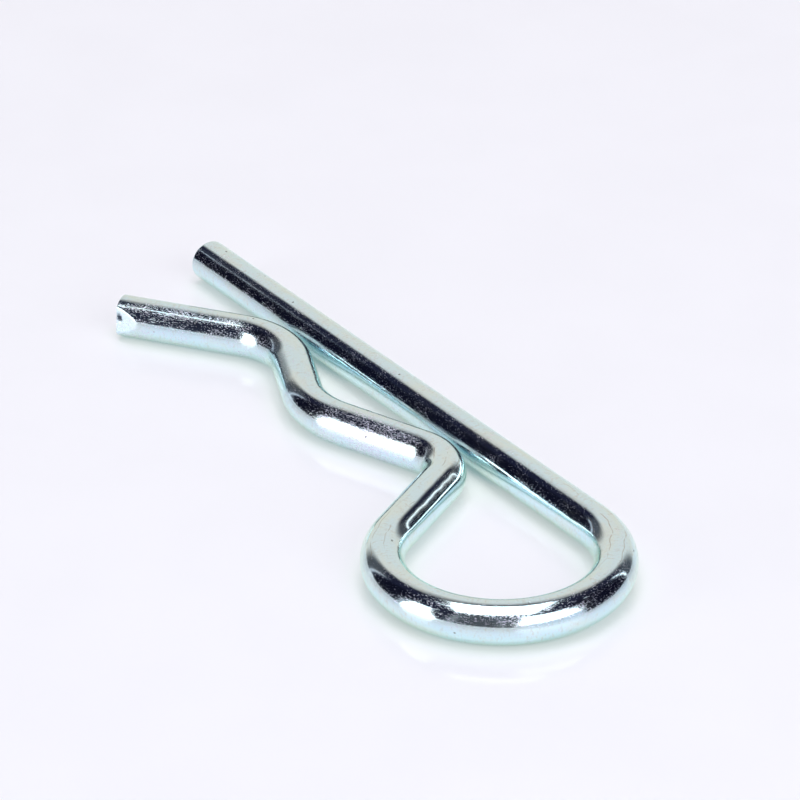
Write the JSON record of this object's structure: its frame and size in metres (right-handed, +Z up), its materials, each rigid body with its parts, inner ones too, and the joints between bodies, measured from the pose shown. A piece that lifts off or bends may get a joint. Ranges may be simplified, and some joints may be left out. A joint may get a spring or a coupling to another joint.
{
  "type": "hitch r clip pin",
  "caption": "Flat R-shaped spring clip of round zinc-plated wire: a straight leg, a round eye, and a bowed leg with a flared end.",
  "frame": {"origin": "under the middle of the clip's bounding box, level with the surface it lies on; Y = 0 runs through the middle of the eye", "axes": "+X along the straight leg from its tip towards the eye, +Y from the bowed leg towards the straight leg, +Z up, square to the plane of the wire and along the shaft that the clip holds"},
  "size_m": [0.0745, 0.0246, 0.004],
  "materials": {
    "plated_wire": "bright zinc plate with a faint green and violet tint, fine draw lines, small pits and hairline scratches"
  },
  "bodies": {
    "root": {"clip_wire": "plated_wire"}
  },
  "joints": []
}
